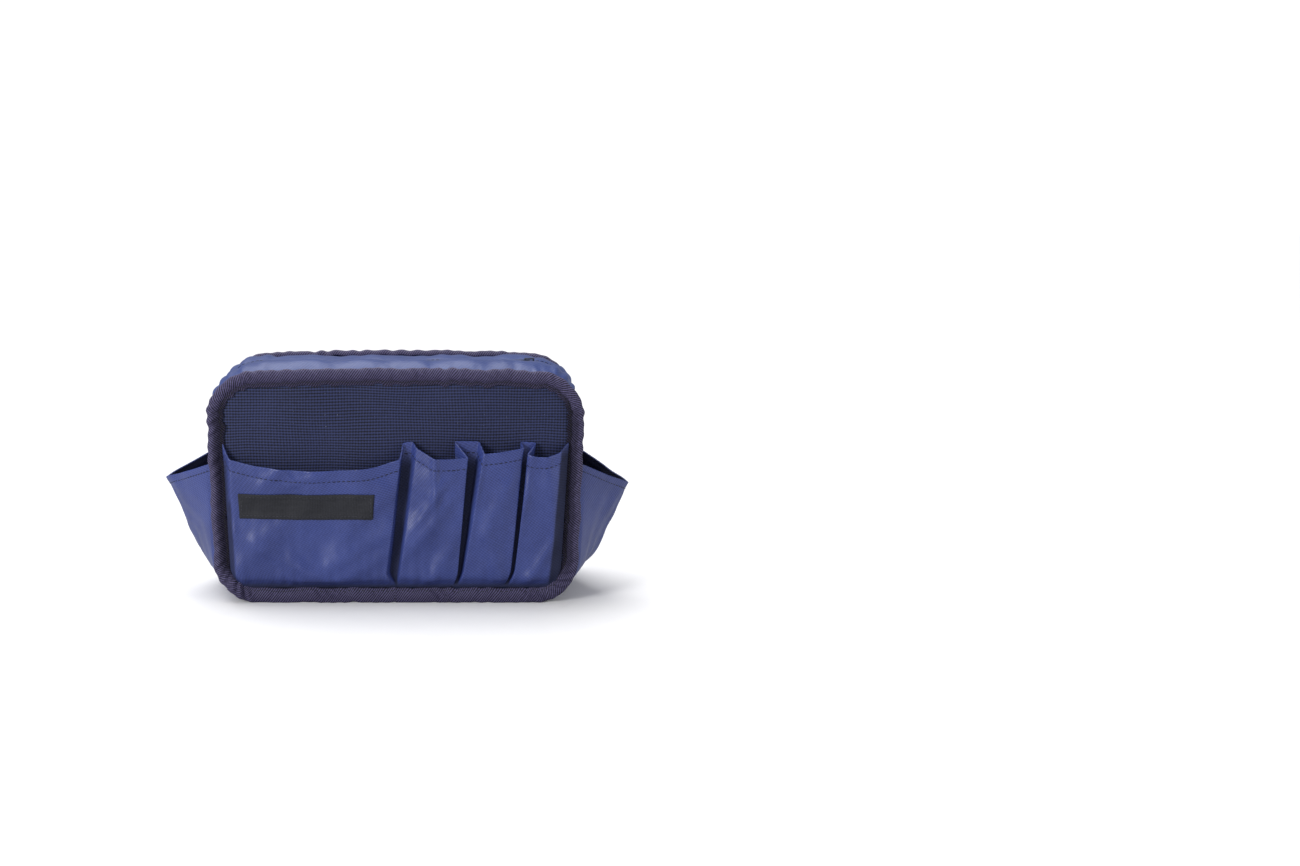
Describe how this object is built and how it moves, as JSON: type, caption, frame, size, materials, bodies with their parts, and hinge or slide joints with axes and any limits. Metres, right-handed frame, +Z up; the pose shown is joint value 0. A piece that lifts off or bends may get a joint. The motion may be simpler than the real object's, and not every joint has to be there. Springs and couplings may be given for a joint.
{
  "type": "travel document organizer",
  "caption": "Soft box-shaped pouch with bound mesh faces, a zipped gusset, a row of front pockets, a gathered back pocket and a flared pocket at each end.",
  "frame": {"origin": "middle of the base, on the surface it stands on", "axes": "+Z up, front pockets face -Y, +X to the right seen from the front"},
  "size_m": [0.2856, 0.1035, 0.1435],
  "materials": {
    "nylon": "fine diagonal weave, soft sheen",
    "lip_nylon": "fine diagonal weave, soft sheen, top lit",
    "mesh": "fine open mesh, matt",
    "binding_tape": "woven twill tape, puckered",
    "label_cloth": "dense damask weave, blank",
    "zip_tape": "woven tape, matt",
    "zip_coil": "moulded nylon coil",
    "zip_metal": "dark painted die casting",
    "elastic": "knitted elastic"
  },
  "bodies": {
    "bag": {"front_mesh_panel": "mesh", "back_mesh_panel": "mesh", "front_binding": "binding_tape", "back_binding": "binding_tape", "lower_gusset": "nylon", "zip_lip_front": "lip_nylon", "zip_lip_rear": "lip_nylon", "zip_tape_front": "zip_tape", "zip_tape_rear": "zip_tape", "zip_coil_front": "zip_coil", "zip_coil_rear": "zip_coil", "zip_stop_left": "zip_metal", "zip_stop_right": "zip_metal", "front_pocket_strip": "nylon", "woven_label": "label_cloth", "back_pocket": "nylon", "back_pocket_elastic": "elastic", "side_pocket_left": "nylon", "side_pocket_right": "nylon"},
    "slider": {"zip_slider": "zip_metal"},
    "pull": {"zip_pull": "zip_metal"}
  },
  "joints": [
    {"name": "zip_travel", "type": "slide", "parent": "bag", "child": "slider", "axis": [1, 0, 0], "range_m": [-0.16, 0]},
    {"name": "pull_swing", "type": "hinge", "parent": "slider", "child": "pull", "pos_m": [0.08, 0, 0.1397], "axis": [0, 1, 0], "range_deg": [0, 170]}
  ]
}
